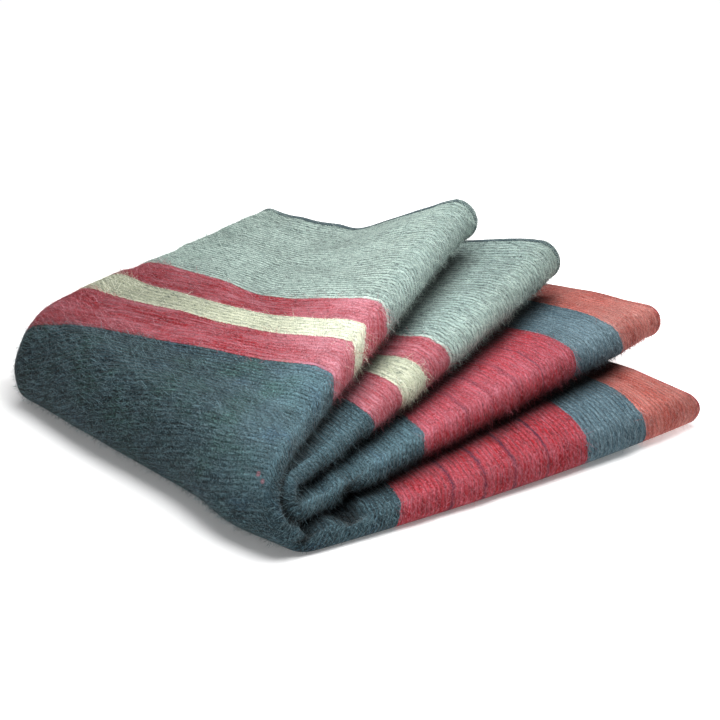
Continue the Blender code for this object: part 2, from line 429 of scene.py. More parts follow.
def pointed(place, v):
    v = np.minimum(v, 2 * HALF_LENGTH - v)
    out = np.zeros_like(v)
    for p in POINTS:
        out += p.reach * np.exp(-(((place - p.across) / p.wide) ** 2) - (HALF_LENGTH - v) / p.fade)
    return out


def lifted(u, v, height):
    """How far the cloth stands out of its plain fold at each flat place."""
    v = np.minimum(v, 2 * HALF_LENGTH - v)
    out = np.zeros_like(v)
    for w in WAVES:
        out += w.height * np.sin(2 * math.pi * (w.per_u * u + w.per_v * v) + w.start)
    for c in CREASES:
        du, dv = c.u_end - c.u, c.v_end - c.v
        share = np.clip(((u - c.u) * du + (v - c.v) * dv) / (du * du + dv * dv), 0, 1)
        gap = np.hypot(u - c.u - share * du, v - c.v - share * dv)
        out += c.depth * np.exp(-((gap / c.width) ** 2))
    return out * smooth((height - 0.004) / 0.010)


# ------------------------------------------------------------------ the cloth
def plies():
    """The single cloth's middle, [along, across, xyz], its flat coordinates
    [along, across, uv] and its outward normals."""
    base, place = layer_middles(OUTER_PAGE_STEPS, OUTER_SPINE_STEPS, 1.25)
    width = np.linalg.norm(np.diff(base, axis=1), axis=2).mean(0)
    u = np.concatenate([[0.0], np.cumsum(width)])
    v = along_cloth(base, place)
    outward = unit(np.cross(directions(base, 1), directions(base, 0)))
    outer = base + outward * NEST

    inner_base, inner_place = layer_middles(INNER_PAGE_STEPS, INNER_SPINE_STEPS)
    inner_out = unit(np.cross(directions(inner_base, 1), directions(inner_base, 0)))
    inner = inner_base - inner_out * NEST
    back = inner_base[0] + (inner_base[1] - inner_base[0]) * (
        EDGE_STEP * INNER_PAGE_STEPS
    )
    inner[0] = back - inner_out[0] * NEST
    inner_v = 2 * HALF_LENGTH - along_cloth(inner_base, inner_place)

    past = unit(base[-1] - base[-2])
    turns = np.linspace(0, math.pi, FOLD_STEPS + 1)[1:-1]
    turn = np.array(
        [
            base[-1] + outward[-1] * NEST * math.cos(a) + past * NEST * math.sin(a)
            for a in turns
        ]
    )
    middle = np.concatenate([outer, turn, inner[::-1]])
    middle = middle - np.array([FOOT_X, FOOT_Y, 0.0])
    v = np.concatenate([v, np.full((len(turns), v.shape[1]), HALF_LENGTH), inner_v[::-1]])
    uv = np.stack([np.broadcast_to(u, v.shape), v], -1)
    out = np.concatenate([outward] + [outward[-1:]] * len(turns) + [inner_out[::-1]])
    middle = middle + out * lifted(uv[..., 0], v, middle[..., 2])[..., None]
    across = np.array([c[2] for c in SECTION])[None]
    middle = middle + past[None] * pointed(across, v)[..., None]
    return middle, uv, len(base)


def mesh_of(name, verts, faces, maps, smooth_faces=True):
    """A mesh from arrays: vertices, faces of equal size, and UV maps by name, each
    with a pair of values for each vertex."""
    size = faces.shape[1]
    mesh = bpy.data.meshes.new(name)
    mesh.vertices.add(len(verts))
    mesh.vertices.foreach_set("co", np.ascontiguousarray(verts, np.float32).ravel())
    mesh.loops.add(faces.size)
    mesh.loops.foreach_set("vertex_index", np.ascontiguousarray(faces, np.int32).ravel())
    mesh.polygons.add(len(faces))
    mesh.polygons.foreach_set("loop_start", np.arange(0, faces.size, size, dtype=np.int32))
    mesh.update(calc_edges=True)
    for title, values in maps.items():
        layer = mesh.uv_layers.new(name=title)
        layer.data.foreach_set(
            "uv", np.ascontiguousarray(values[faces.ravel()], np.float32).ravel()
        )
    mesh.validate()
    if smooth_faces:
        mesh.shade_smooth()
    obj = bpy.data.objects.new(name, mesh)
    bpy.context.scene.collection.objects.link(obj)
    return obj


def painted_shade_share(front, outward, verts, faces, rows, reach=0.060, looks=14):
    """How much of the space over each place of the outer surface other folds fill, 0 to 1: it sets the painted shade
    in the crevices between folds."""
    tree = BVHTree.FromPolygons(verts.tolist(), faces.tolist())
    f = (np.arange(looks) + 0.5) / looks
    turn = np.arange(looks) * 2.39996
    local = np.stack([np.sqrt(f) * np.cos(turn), np.sqrt(f) * np.sin(turn), np.sqrt(1 - f)], -1)
    n = outward[:rows]
    side = unit(np.cross(n, np.array([0.3, 0.5, 0.8])))
    frame_of = np.stack([side, np.cross(n, side), n], -2)
    ways = local @ frame_of
    starts = front[:rows] + n * 0.0006
    out = np.ones(front.shape[:2])
    for i in range(rows):
        for j in range(front.shape[1]):
            start, closed = Vector(starts[i, j]), 0.0
            for way in ways[i, j]:
                far = tree.ray_cast(start, Vector(way), reach)[3]
                if far is not None:
                    closed += 1 - far / reach
            out[i, j] = closed / looks
    padded = np.pad(out, 1, mode="edge")
    around = sum(padded[a : a + out.shape[0], b : b + out.shape[1]] for a in range(3) for b in range(3))
    return around / 9


# Painted sheen: a pale highlight painted on the turned edges, where the light catches the brushed pile: the place
# across, which half of the cloth's length, how wide and how strong.
PaintedSheen = collections.namedtuple("PaintedSheen", "across top wide strength")
PAINTED_SHEENS = [
    PaintedSheen(2.00, True, 0.20, 1.10),
    PaintedSheen(5.85, True, 0.28, 0.60),
    PaintedSheen(5.10, False, 0.20, 1.00),
    PaintedSheen(1.12, False, 0.16, 0.30),
]


def painted_sheen_grid(rows, total):
    """The painted sheen at each [row, column]."""
    across = np.array([c[2] for c in SECTION])[None]
    row = np.arange(total)[:, None] / (OUTER_PAGE_STEPS + OUTER_SPINE_STEPS * 0.5)
    out = np.zeros((total, across.shape[1]))
    for b in PAINTED_SHEENS:
        in_half = smooth((1.10 - row) / 0.30) if b.top else smooth((row - 1.0) / 0.30)
        out += b.strength * in_half * np.exp(-(((across - b.across) / b.wide) ** 2))
    out[rows:] = 0
    return np.clip(out, 0, 1)


def cloth_sheet(middle, uv, outer_rows):
    """The closed sheet, its outward normals, its outer surface and, at each place on it, the share of painted crevice
    shade and the painted sheen."""
    outward = unit(np.cross(directions(middle, 1), directions(middle, 0)))
    front, back = middle + outward * PLY / 2, middle - outward * PLY / 2
    rows, columns = middle.shape[:2]
    index = np.arange(rows * columns).reshape(rows, columns)
    a, b, c, d = index[:-1, :-1], index[:-1, 1:], index[1:, 1:], index[1:, :-1]
    top = np.stack([a, b, c, d], -1).reshape(-1, 4)
    under = top[:, ::-1] + rows * columns
    rim = np.concatenate([index[0], index[1:, -1], index[-1, -2::-1], index[-2:0:-1, 0]])
    after = np.roll(rim, -1)
    sides = np.stack([after, rim, rim + rows * columns, after + rows * columns], -1)
    faces = np.concatenate([top, under, sides])
    verts = np.concatenate([front.reshape(-1, 3), back.reshape(-1, 3)])
    # Faces out: the outer surface's own direction decides.
    q = verts[top[0]]
    if np.dot(np.cross(q[1] - q[0], q[2] - q[0]), outward[0, 0]) < 0:
        faces = faces[:, ::-1]
    # Painted shade: how closely other folds lie over each place, which darkens the colour there.
    near = painted_shade_share(front, outward, verts, faces, outer_rows + FOLD_STEPS)
    # The fold map holds the painted crevice shade and the painted sheen of each place.
    fold = np.stack([near, painted_sheen_grid(outer_rows, rows)], -1)
    maps = {
        "cloth": np.concatenate([uv.reshape(-1, 2)] * 2),
        "fold": np.concatenate([fold.reshape(-1, 2)] * 2),
    }
    return mesh_of("blanket_cloth", verts, faces, maps), front, outward, fold


# ------------------------------------------------------------------ pile
def sampled(grid, i, j):
    """Values of a grid at fractional [row, column] places."""
    i = np.clip(i, 0, grid.shape[0] - 1.001)
    j = np.clip(j, 0, grid.shape[1] - 1.001)
    i0, j0 = i.astype(int), j.astype(int)
    f, g = (i - i0)[..., None], (j - j0)[..., None]
    return (
        grid[i0, j0] * (1 - f) * (1 - g)
        + grid[i0 + 1, j0] * f * (1 - g)
        + grid[i0, j0 + 1] * (1 - f) * g
        + grid[i0 + 1, j0 + 1] * f * g
    )


def pile_weights(front, rows):
    """How thickly the pile stands on each cell of the cloth's outer surface."""
    grid = front[:rows]
    along = np.linalg.norm(np.diff(grid, axis=0), axis=2)
    across = np.linalg.norm(np.diff(grid, axis=1), axis=2)
    area = along[:, :-1] * across[:-1]
    place = np.array([c[2] for c in SECTION])[:-1]
    high = (grid[:-1, :-1, 2] > 0.0022).astype(float)
    row = np.arange(rows - 1)
    top = row < OUTER_PAGE_STEPS
    bottom = row >= OUTER_PAGE_STEPS + OUTER_SPINE_STEPS
    weight = np.zeros((rows - 1, len(place)))
    layer_1 = (place >= 2) & (place < 3)
    loops = ((place >= 1) & (place < 2)) | ((place >= 5) & (place < 6))
    wrap = (place >= 3) & (place < 4)
    near = ((place >= 0.45) & (place < 1)) | (place >= 6) & (place < 6.6)
    near |= (place >= 4.5) & (place < 5)
    weight[:, layer_1] = np.where(bottom, 0.0, 1.0)[:, None]
    weight[:, loops] = 1.25
    weight[:, wrap] = 0.8
    weight[:, near] = 0.75
    weight[top[:, None] & ((place >= 4.5) & (place < 5))[None]] = 0.25
    weight[top[:, None] & ((place >= 0.45) & (place < 1))[None]] = 0.25
    rest = weight.sum(0) == 0
    weight[:, rest] = 0.12
    return weight * area * high


def fuzz_share(rows):
    """Loose fuzz stands thickest where the cloth turns: the spine and the folds."""
    place = np.array([c[2] for c in SECTION])[:-1]
    share = np.full((rows - 1, len(place)), 0.25)
    share[OUTER_PAGE_STEPS - 10 : OUTER_PAGE_STEPS + OUTER_SPINE_STEPS] = 2.2
    turning = ((place >= 1) & (place < 2)) | ((place >= 5) & (place < 6))
    turning |= (place >= 2.9) & (place < 4)
    share[:, turning] = 2.2
    return share


def pile(front, outward, uv, fold, rows, count, seed, name, length, width, lift, stray):
    """Brushed hairs as flat ribbons that follow the cloth, joined in one mesh."""
    rng = np.random.default_rng(seed)
    weight = pile_weights(front, rows)
    if stray > 0.5:
        weight = weight * fuzz_share(rows) * (front[: rows - 1, :-1, 2] > 0.012)
    cells = rng.choice(weight.size, count, p=(weight / weight.sum()).ravel())
    i0 = cells // weight.shape[1] + rng.random(count)
    j0 = cells % weight.shape[1] + rng.random(count)
    grid, normals, flat = front[:rows], outward[:rows], uv[:rows]
    along = np.linalg.norm(np.gradient(grid, axis=0), axis=2)[..., None]
    across = np.linalg.norm(np.gradient(grid, axis=1), axis=2)[..., None]
    size_i, size_j = sampled(along, i0, j0)[:, 0], sampled(across, i0, j0)[:, 0]
    steps = 2 if stray > 0.5 else 3
    reach = length * (0.5 + rng.random(count)) / steps
    lean = rng.normal(0, 0.40, count) + 0.12
    lean[rng.random(count) < 0.10] += math.pi / 2
    sign = np.where(rng.random(count) < 0.5, 1.0, -1.0)
    bend = rng.normal(0, 0.22, count)
    loose = rng.random(count) < stray
    high = lift * (0.25 + rng.random(count)) * np.where(loose, 3.2, 1.0)
    i, j = i0.copy(), j0.copy()
    points, normal = [], []
    for k in range(steps + 1):
        f = k / steps
        profile = np.where(loose, f**1.3, np.sin(math.pi * min(f * 0.8 + 0.12, 1)))
        n = unit(sampled(normals, i, j))
        p = sampled(grid, i, j) + n * (high * profile)[:, None]
        p[:, 2] = np.maximum(p[:, 2], 0.0006)
        points.append(p)
        normal.append(n)
        turn = lean + bend * k * 3 / steps
        i = i + np.sin(turn) * sign * reach / size_i
        j = j + np.cos(turn) * sign * reach / size_j
    points, normal = np.stack(points, 1), np.stack(normal, 1)
    # Where the cloth bunches inside the fold, a hair can run far past its length.
    step = np.linalg.norm(np.diff(points, axis=1), axis=2).max(axis=1)
    kept = step < 1.6 * reach + 1.2 * high + 0.001
    points, normal, i0, j0 = points[kept], normal[kept], i0[kept], j0[kept]
    count = int(kept.sum())
    run = unit(np.gradient(points, axis=1) + 1e-9)
    side = unit(np.cross(normal, run) + 1e-9)
    taper = np.array([0.55, 1.0, 0.85, 0.12] if steps == 3 else [0.7, 1.0, 0.15])[None, :, None]
    half = (width * (0.7 + 0.6 * rng.random(count)) / 2)[:, None, None] * taper
    left, right = points - side * half, points + side * half
    verts = np.stack([left, right], 2).reshape(-1, 3)
    base = (np.arange(count) * (steps + 1) * 2)[:, None, None]
    quad = (np.array([[0, 1, 3, 2]]) + np.arange(steps)[:, None] * 2)[None]
    faces = (base + quad).reshape(-1, 4)
    each = np.repeat(sampled(flat, i0, j0), (steps + 1) * 2, axis=0)
    folded = np.repeat(sampled(fold[:rows], i0, j0), (steps + 1) * 2, axis=0)
    shade = np.repeat(rng.random(count), (steps + 1) * 2)
    tip = np.tile(np.repeat(np.linspace(0, 1, steps + 1), 2), count)
    strand = np.stack([shade, tip], -1)
    return mesh_of(name, verts, faces, {"cloth": each, "fold": folded, "strand": strand})


# ------------------------------------------------------------------ overlock
def overlock(name, edge, inward, outward, pitch=0.0020, thread=0.0007, deep=0.0062):
    """Thread laid over a cut edge again and again, as tubes joined in one mesh."""
    steps = np.linalg.norm(np.diff(edge, axis=0), axis=1)
    far = np.concatenate([[0.0], np.cumsum(steps)])
    count = int(far[-1] / pitch)
    at = (np.arange(count) + 0.5) * far[-1] / count
    rng = np.random.default_rng(5)

    def along_edge(values, where):
        return np.stack([np.interp(where, far, values[:, k]) for k in range(3)], -1)

    def placed(shift):
        where = np.clip(at + shift, 0, far[-1])
        e, d, n = (along_edge(v, where) for v in (edge, inward, outward))
        return e, unit(d), unit(n)

    half = PLY / 2 + thread * 0.55
    # (how far in from the edge, height over the middle, shift along the edge)
    path = [
        (deep, half * 0.92, 0.9),
        (deep * 0.45, half * 1.08, 0.45),
        (0.0002, half * 0.86, 0.1),
        (-thread * 0.9, 0.0, 0.0),
        (0.0002, -half * 0.86, -0.1),
        (deep * 0.45, -half * 1.08, -0.45),
        (deep, -half * 0.92, -0.9),
    ]
    jitter = 1 + rng.normal(0, 0.07, count)
    line = []
    for inset, height, shift in path:
        e, d, n = placed(shift * pitch)
        line.append(e + d * (inset * jitter)[:, None] + n * height)
    line = np.stack(line, 1)
    run = unit(np.gradient(line, axis=1))
    beside = unit(along_edge(np.gradient(edge, axis=0), at))[:, None] + np.zeros_like(run)
    beside = unit(beside - run * (beside * run).sum(-1, keepdims=True))
    over = np.cross(run, beside)
    ring = np.linspace(0, 2 * math.pi, 5)[:-1] + math.pi / 4
    tube = (
        line[:, :, None]
        + beside[:, :, None] * (np.cos(ring) * thread * 1.25)[None, None, :, None]
        + over[:, :, None] * (np.sin(ring) * thread * 0.75)[None, None, :, None]
    )
    n_path, n_ring = line.shape[1], len(ring)
    index = np.arange(count * n_path * n_ring).reshape(count, n_path, n_ring)
    a, b = index[:, :-1], index[:, 1:]
    faces = np.stack([a, np.roll(a, -1, 2), np.roll(b, -1, 2), b], -1).reshape(-1, 4)
    ends = np.concatenate([index[:, 0, ::-1], index[:, -1]])
    faces = np.concatenate([faces, ends])
    uv = np.stack(
        [
            np.repeat(at, n_path * n_ring),
            np.tile(np.repeat(np.linspace(0, 0.01, n_path), n_ring), count),
        ],
        -1,
    )
    return mesh_of(name, tube.reshape(-1, 3), faces, {"cloth": uv})


# ------------------------------------------------------------------ materials
def linear(r, g, b):
    def one(c):
        c = c / 255
        return c / 12.92 if c <= 0.04045 else ((c + 0.055) / 1.055) ** 2.4

    return (one(r), one(g), one(b), 1.0)


class Tree:
    """Short names for adding shader nodes."""

    def __init__(self, name):
        self.mat = bpy.data.materials.new(name)
        self.mat.use_nodes = True
        self.nodes = self.mat.node_tree.nodes
        self.links = self.mat.node_tree.links
        self.shader = self.nodes["Principled BSDF"]

    def add(self, kind, **values):
        node = self.nodes.new(kind)
        for key, value in values.items():
            setattr(node, key, value)
        return node

    def put(self, socket, value):
        if hasattr(value, "is_output"):
            self.links.new(value, socket)
        else:
            socket.default_value = value

    def math(self, operation, a, b=0.0, c=0.0, clamp=False):
        node = self.add("ShaderNodeMath", operation=operation, use_clamp=clamp)
        for socket, value in zip(node.inputs, (a, b, c)):
            self.put(socket, value)
        return node.outputs[0]

    def mix(self, factor, a, b, blend="MIX"):
        node = self.add("ShaderNodeMix", data_type="RGBA", blend_type=blend)
        self.put(node.inputs["Factor"], factor)
        self.put(node.inputs["A"], a)
        self.put(node.inputs["B"], b)
        return node.outputs["Result"]

    def range(self, value, low, high, to_low, to_high):
        node = self.add("ShaderNodeMapRange")
        for socket, v in zip(node.inputs, (value, low, high, to_low, to_high)):
            self.put(socket, v)
        return node.outputs["Result"]

    def vector(self, x, y, z=0.0):
        node = self.add("ShaderNodeCombineXYZ")
        for socket, v in zip(node.inputs, (x, y, z)):
            self.put(socket, v)
        return node.outputs[0]

    def noise(self, vector, scale=1.0, detail=2.0, rough=0.55, distortion=0.0):
        node = self.add("ShaderNodeTexNoise")
        self.put(node.inputs["Vector"], vector)
        self.put(node.inputs["Scale"], scale)
        self.put(node.inputs["Detail"], detail)
        self.put(node.inputs["Roughness"], rough)
        self.put(node.inputs["Distortion"], distortion)
        return node.outputs["Fac"]

    def uv(self, name="cloth"):
        node = self.add("ShaderNodeUVMap", uv_map=name)
        split = self.add("ShaderNodeSeparateXYZ")
        self.links.new(node.outputs[0], split.inputs[0])
        return split.outputs[0], split.outputs[1]

    def with_painted_shade(self, colour, near):
        """The colour with painted shade: darker where other folds lie close over the cloth."""
        left = self.range(near, 0.12, 0.47, 1.0, 0.20)
        return self.mix(1.0, colour, self.vector(left, left, left), "MULTIPLY")

    def steps(self, value, stops, blend="CONSTANT"):
        """A colour ramp over the half cloth's length; stops are (metres, colour)."""
        ramp = self.add("ShaderNodeValToRGB")
        band = ramp.color_ramp
        band.interpolation = blend
        while len(band.elements) > 1:
            band.elements.remove(band.elements[-1])
        band.elements[0].position = stops[0][0] / HALF_LENGTH
        band.elements[0].color = stops[0][1]
        for metres, colour in stops[1:]:
            band.elements.new(min(metres / HALF_LENGTH, 1.0)).color = colour
        self.put(ramp.inputs[0], self.math("DIVIDE", value, HALF_LENGTH))
        return ramp.outputs[0]


# The stripes' yarn colours, the paler and darker fibres brushed into them, and
# how much the ribs, dark dashes and pale haze show (0 to 1).
Yarn = collections.namedtuple("Yarn", "body pale deep ribs dashes haze")
YARNS = {
    "mint": Yarn((152, 173, 165), (230, 247, 237), (40, 58, 60), 0.95, 1.00, 0.20),
    "red": Yarn((150, 12, 24), (208, 150, 163), (66, 10, 22), 0.50, 0.70, 0.54),
    "cream": Yarn((202, 205, 178), (244, 246, 228), (94, 106, 94), 0.55, 0.80, 0.15),
    "slate": Yarn((17, 37, 44), (129, 163, 173), (1, 4, 8), 1.00, 0.80, 0.14),
    "crimson": Yarn((156, 9, 22), (200, 128, 144), (58, 7, 16), 0.62, 0.68, 0.28),
    "blue": Yarn((64, 90, 102), (152, 178, 188), (12, 28, 38), 0.95, 0.75, 0.18),
    "terracotta": Yarn((178, 76, 64), (218, 168, 160), (88, 28, 28), 0.65, 0.65, 0.40),
    "trace": Yarn((148, 30, 46), (190, 96, 108), (72, 16, 28), 0.60, 0.50, 0.30),
}
ORDER = ["mint", "red", "cream", "red", "slate", "crimson", "blue", "terracotta"]
THIN_LINES = [0.7306, 0.7670, 0.8034, 0.8422]  # dark picks in the crimson
RIB = 0.0052  # from one rib to the next


def bands(which):
    def colour(name):
        value = getattr(YARNS[name], which)
        return linear(*value) if isinstance(value, tuple) else (value, value, value, 1.0)

    stops = [(CHANGES[k], colour(name)) for k, name in enumerate(ORDER)]
    return stops + [(HALF_LENGTH - 0.004, colour("trace"))]


def cloth_material():
    t = Tree("brushed_alpaca_cloth")
    u, raw = t.uv()
    # The other half of the cloth mirrors this one.
    v = t.math("PINGPONG", raw, HALF_LENGTH)

    # Yarns wander a little, so stripes and ribs aren't ruled lines.
    wander = t.noise(t.vector(t.math("MULTIPLY", u, 9.0), t.math("MULTIPLY", v, 9.0)), 1.0, 2.0)
    v1 = t.math("ADD", v, t.math("MULTIPLY", t.math("SUBTRACT", wander, 0.5), 0.0060))
    teeth = t.noise(t.vector(t.math("MULTIPLY", u, 420.0), t.math("MULTIPLY", v, 120.0)), 1.0, 1.0)
    v2 = t.math("ADD", v1, t.math("MULTIPLY", t.math("SUBTRACT", teeth, 0.5), 0.0042))

    body = t.steps(v2, bands("body"))
    pale = t.steps(v2, bands("pale"))
    deep = t.steps(v2, bands("deep"))

    ribs, dashes, haze = (t.steps(v2, bands(k)) for k in ("ribs", "dashes", "haze"))

    # Fibres along the ribs, fibres brushed across them, specks and soft mottling.
    def fibres(along_u, along_v, slant=0.0, detail=2.0, seed=0.0, bent=0.1):
        x = t.math("ADD", u, t.math("MULTIPLY", v1, slant))
        where = t.vector(t.math("MULTIPLY", x, along_u), t.math("MULTIPLY", v1, along_v), seed)
        return t.noise(where, 1.0, detail, 0.6, bent)

    streak = fibres(72.0, 430.0)
    dash = fibres(95.0, 480.0, seed=4.0, bent=0.2)
    long_streak = fibres(16.0, 260.0, seed=5.0)
    brushed = fibres(560.0, 150.0, 0.45, seed=1.0)
    brushed_2 = fibres(480.0, 180.0, -0.6, seed=2.0)
    speck = fibres(430.0, 430.0, seed=3.0, detail=1.0)
    mottle = t.noise(t.vector(t.math("MULTIPLY", u, 13.0), t.math("MULTIPLY", v, 24.0)), 1.0, 3.0, 0.6, 0.4)
    veil = t.noise(t.vector(t.math("MULTIPLY", u, 11.0), t.math("MULTIPLY", v, 48.0), 6.0), 1.0, 4.0, 0.65, 0.8)

    # Ribs with a broken dark groove between them, and their short slanting stitches.
    phase = t.math("DIVIDE", v1, RIB)
    hill = t.math("ABSOLUTE", t.math("SINE", t.math("MULTIPLY", phase, math.pi)))
    row = t.math("FLOOR", t.math("ADD", phase, 0.5))
    shift = t.math("FRACT", t.math("MULTIPLY", t.math("SINE", t.math("MULTIPLY", row, 12.9898)), 43.758))
    inside = t.math("FRACT", phase)
    stitch = t.math("ADD", t.math("DIVIDE", u, 0.0030), t.math("ADD", shift, t.math("MULTIPLY", inside, 0.8)))
    tick = t.math("ABSOLUTE", t.math("SINE", t.math("MULTIPLY", stitch, math.pi)))
    gap = t.noise(t.vector(t.math("MULTIPLY", u, 42.0), t.math("MULTIPLY", row, 3.71)), 1.0, 3.0, 0.7)

    groove = t.math("MULTIPLY", t.range(hill, 0.76, 0.14, 0.0, 1.0), t.range(gap, 0.34, 0.56, 0.25, 1.0))
    dark = t.math("MULTIPLY", groove, ribs)
    dark = t.math("MAXIMUM", dark, t.math("MULTIPLY", t.range(dash, 0.50, 0.64, 0.0, 1.0), dashes))
    dark = t.math("ADD", dark, t.range(speck, 0.48, 0.28, 0.0, 0.45))
    dark = t.math("ADD", dark, t.range(tick, 0.50, 0.10, 0.0, 0.18), clamp=True)
    light = t.math("MAXIMUM", t.range(brushed, 0.55, 0.74, 0.0, 0.6), t.range(brushed_2, 0.57, 0.76, 0.0, 0.55))
    light = t.math("MAXIMUM", light, t.range(streak, 0.55, 0.76, 0.0, 0.9))
    light = t.math("MAXIMUM", light, t.range(speck, 0.55, 0.74, 0.0, 0.8))
    light = t.math("MULTIPLY", light, t.range(hill, 0.05, 0.6, 0.15, 1.0))
    hazy = t.math("ADD", t.range(veil, 0.40, 0.66, 0.0, 0.55), t.range(long_streak, 0.46, 0.66, 0.0, 0.55))

    colour = t.mix(t.math("MULTIPLY", dark, 0.96), body, deep)
    colour = t.mix(t.math("MULTIPLY", light, 0.72), colour, pale)
    # From the fold map: the share of painted crevice shade and the painted sheen on the turned edges.
    near, painted_sheen = t.uv("fold")
    veiled = t.math("MULTIPLY", t.math("MULTIPLY", hazy, haze), 0.75)
    painted_sheen = t.math("MULTIPLY", painted_sheen, t.range(speck, 0.35, 0.65, 0.13, 0.48))
    painted_sheen = t.math("MULTIPLY", painted_sheen, t.math("GREATER_THAN", v2, CHANGES[1]))
    # Pale haze of the yarn, plus the painted sheen on the turned edges.
    colour = t.mix(t.math("ADD", veiled, painted_sheen, clamp=True), colour, pale)
    shade = t.range(mottle, 0.3, 0.7, 0.84, 1.14)
    colour = t.mix(1.0, colour, t.vector(shade, shade, shade), "MULTIPLY")

    # Greener patches in the dark slate.
    patch = t.noise(t.vector(t.math("MULTIPLY", u, 22.0), t.math("MULTIPLY", v, 30.0), 3.1), 1.0, 2.0)
    in_slate = t.math(
        "MULTIPLY", t.math("GREATER_THAN", v1, CHANGES[4]), t.math("LESS_THAN", v1, CHANGES[5])
    )
    open_face = t.math("MINIMUM", t.range(u, 0.36, 0.44, 0.0, 1.0), t.range(u, 0.90, 0.82, 0.0, 1.0))
    green = t.math("MULTIPLY", in_slate, t.math("MULTIPLY", open_face, t.range(patch, 0.46, 0.64, 0.0, 0.9)))
    colour = t.mix(green, colour, t.mix(1.0, colour, (0.86, 1.06, 0.84, 1.0), "MULTIPLY"))
    navy = t.math("MULTIPLY", in_slate, t.range(patch, 0.42, 0.28, 0.0, 0.9))
    colour = t.mix(navy, colour, t.mix(1.0, colour, (0.78, 0.84, 0.98, 1.0), "MULTIPLY"))

    cool = t.math("MULTIPLY", in_slate, t.math("SUBTRACT", 1.0, open_face))
    colour = t.mix(cool, colour, t.mix(1.0, colour, (0.91, 0.98, 1.02, 1.0), "MULTIPLY"))

    # Painted shade: the mint is darker and greyer on page 2 and under page 1's edge than on its open face.
    painted_underside_shade = t.math("MAXIMUM", t.range(u, 0.382, 0.352, 0.0, 1.0), t.range(u, 1.165, 1.20, 0.0, 1.0))
    painted_underside_shade = t.math("MULTIPLY", painted_underside_shade, t.math("LESS_THAN", v2, CHANGES[1]))
    colour = t.mix(painted_underside_shade, colour, t.mix(1.0, colour, (0.74, 0.77, 0.79, 1.0), "MULTIPLY"))

    # Grey-green fibres mixed into the cream toward the blanket's left end.
    in_cream = t.math(
        "MULTIPLY", t.math("GREATER_THAN", v2, CHANGES[2]), t.math("LESS_THAN", v2, CHANGES[3])
    )
    mixed = t.math("MULTIPLY", t.range(u, 0.46, 0.70, 0.15, 1.0), t.range(long_streak, 0.38, 0.58, 0.2, 1.0))
    mixed = t.math("MULTIPLY", t.math("MULTIPLY", mixed, in_cream), 0.62)
    colour = t.mix(mixed, colour, t.mix(1.0, colour, (0.52, 0.57, 0.52, 1.0), "MULTIPLY"))

    # Painted shade: the colour is darker toward the blanket's left end, which turns away from the light.
    left = t.math("MINIMUM", t.range(u, 0.44, 0.74, 0.0, 1.0), t.range(u, 0.86, 0.80, 0.0, 1.0))
    left = t.math("MULTIPLY", left, t.range(v, 0.19, 0.24, 0.12, 1.0))
    left = t.range(left, 0.0, 1.0, 1.0, 0.56)
    colour = t.mix(1.0, colour, t.vector(left, left, left), "MULTIPLY")

    # The thin dark lines in the crimson.
    pick = None
    for line in THIN_LINES:
        beside = t.range(t.math("ABSOLUTE", t.math("SUBTRACT", v2, line)), 0.0024, 0.0008, 0.0, 1.0)
        pick = beside if pick is None else t.math("MAXIMUM", pick, beside)
    pick = t.math("MULTIPLY", pick, t.range(streak, 0.32, 0.58, 0.55, 0.92))
    pick = t.math("MULTIPLY", pick, t.range(u, 0.70, 0.90, 1.0, 0.55))
    colour = t.mix(pick, colour, linear(66, 34, 54))

    # Two flecks of pink lint caught on the slate beside the near corner.
    for fleck_u, fleck_v, size in ((0.3717, 0.4976, 0.0036), (0.3648, 0.5037, 0.0030)):
        du = t.math("SUBTRACT", u, fleck_u)
        dv = t.math("SUBTRACT", raw, fleck_v)
        gap = t.math("SQRT", t.math("ADD", t.math("MULTIPLY", du, du), t.math("MULTIPLY", dv, dv)))
        gap = t.math("ADD", gap, t.math("MULTIPLY", speck, 0.0034))
        fleck = t.range(gap, size + 0.0016, size - 0.0010, 0.0, 0.62)
        colour = t.mix(fleck, colour, linear(196, 118, 130))

    # Painted shade darkens the colour in the crevices, where other folds lie close.
    t.put(t.shader.inputs["Base Color"], t.with_painted_shade(colour, near))
    t.put(t.shader.inputs["Roughness"], t.range(streak, 0.2, 0.8, 0.98, 0.80))
    t.shader.inputs["Specular IOR Level"].default_value = 0.18
    t.shader.inputs["Sheen Weight"].default_value = 0.12
    t.shader.inputs["Sheen Roughness"].default_value = 0.30
    t.shader.inputs["Sheen Tint"].default_value = (0.86, 0.90, 0.90, 1.0)

    height = t.math("MULTIPLY", t.math("POWER", hill, 0.5), t.math("MULTIPLY", ribs, 0.0012))
    height = t.math("ADD", height, t.math("MULTIPLY", tick, 0.00025))
    height = t.math("ADD", height, t.math("MULTIPLY", streak, 0.0012))
    height = t.math("ADD", height, t.math("MULTIPLY", speck, 0.0010))
    bump = t.add("ShaderNodeBump")
    bump.inputs["Strength"].default_value = 1.0
    bump.inputs["Distance"].default_value = 1.0
    t.put(bump.inputs["Height"], height)
    t.put(t.shader.inputs["Normal"], bump.outputs[0])
    return t.mat


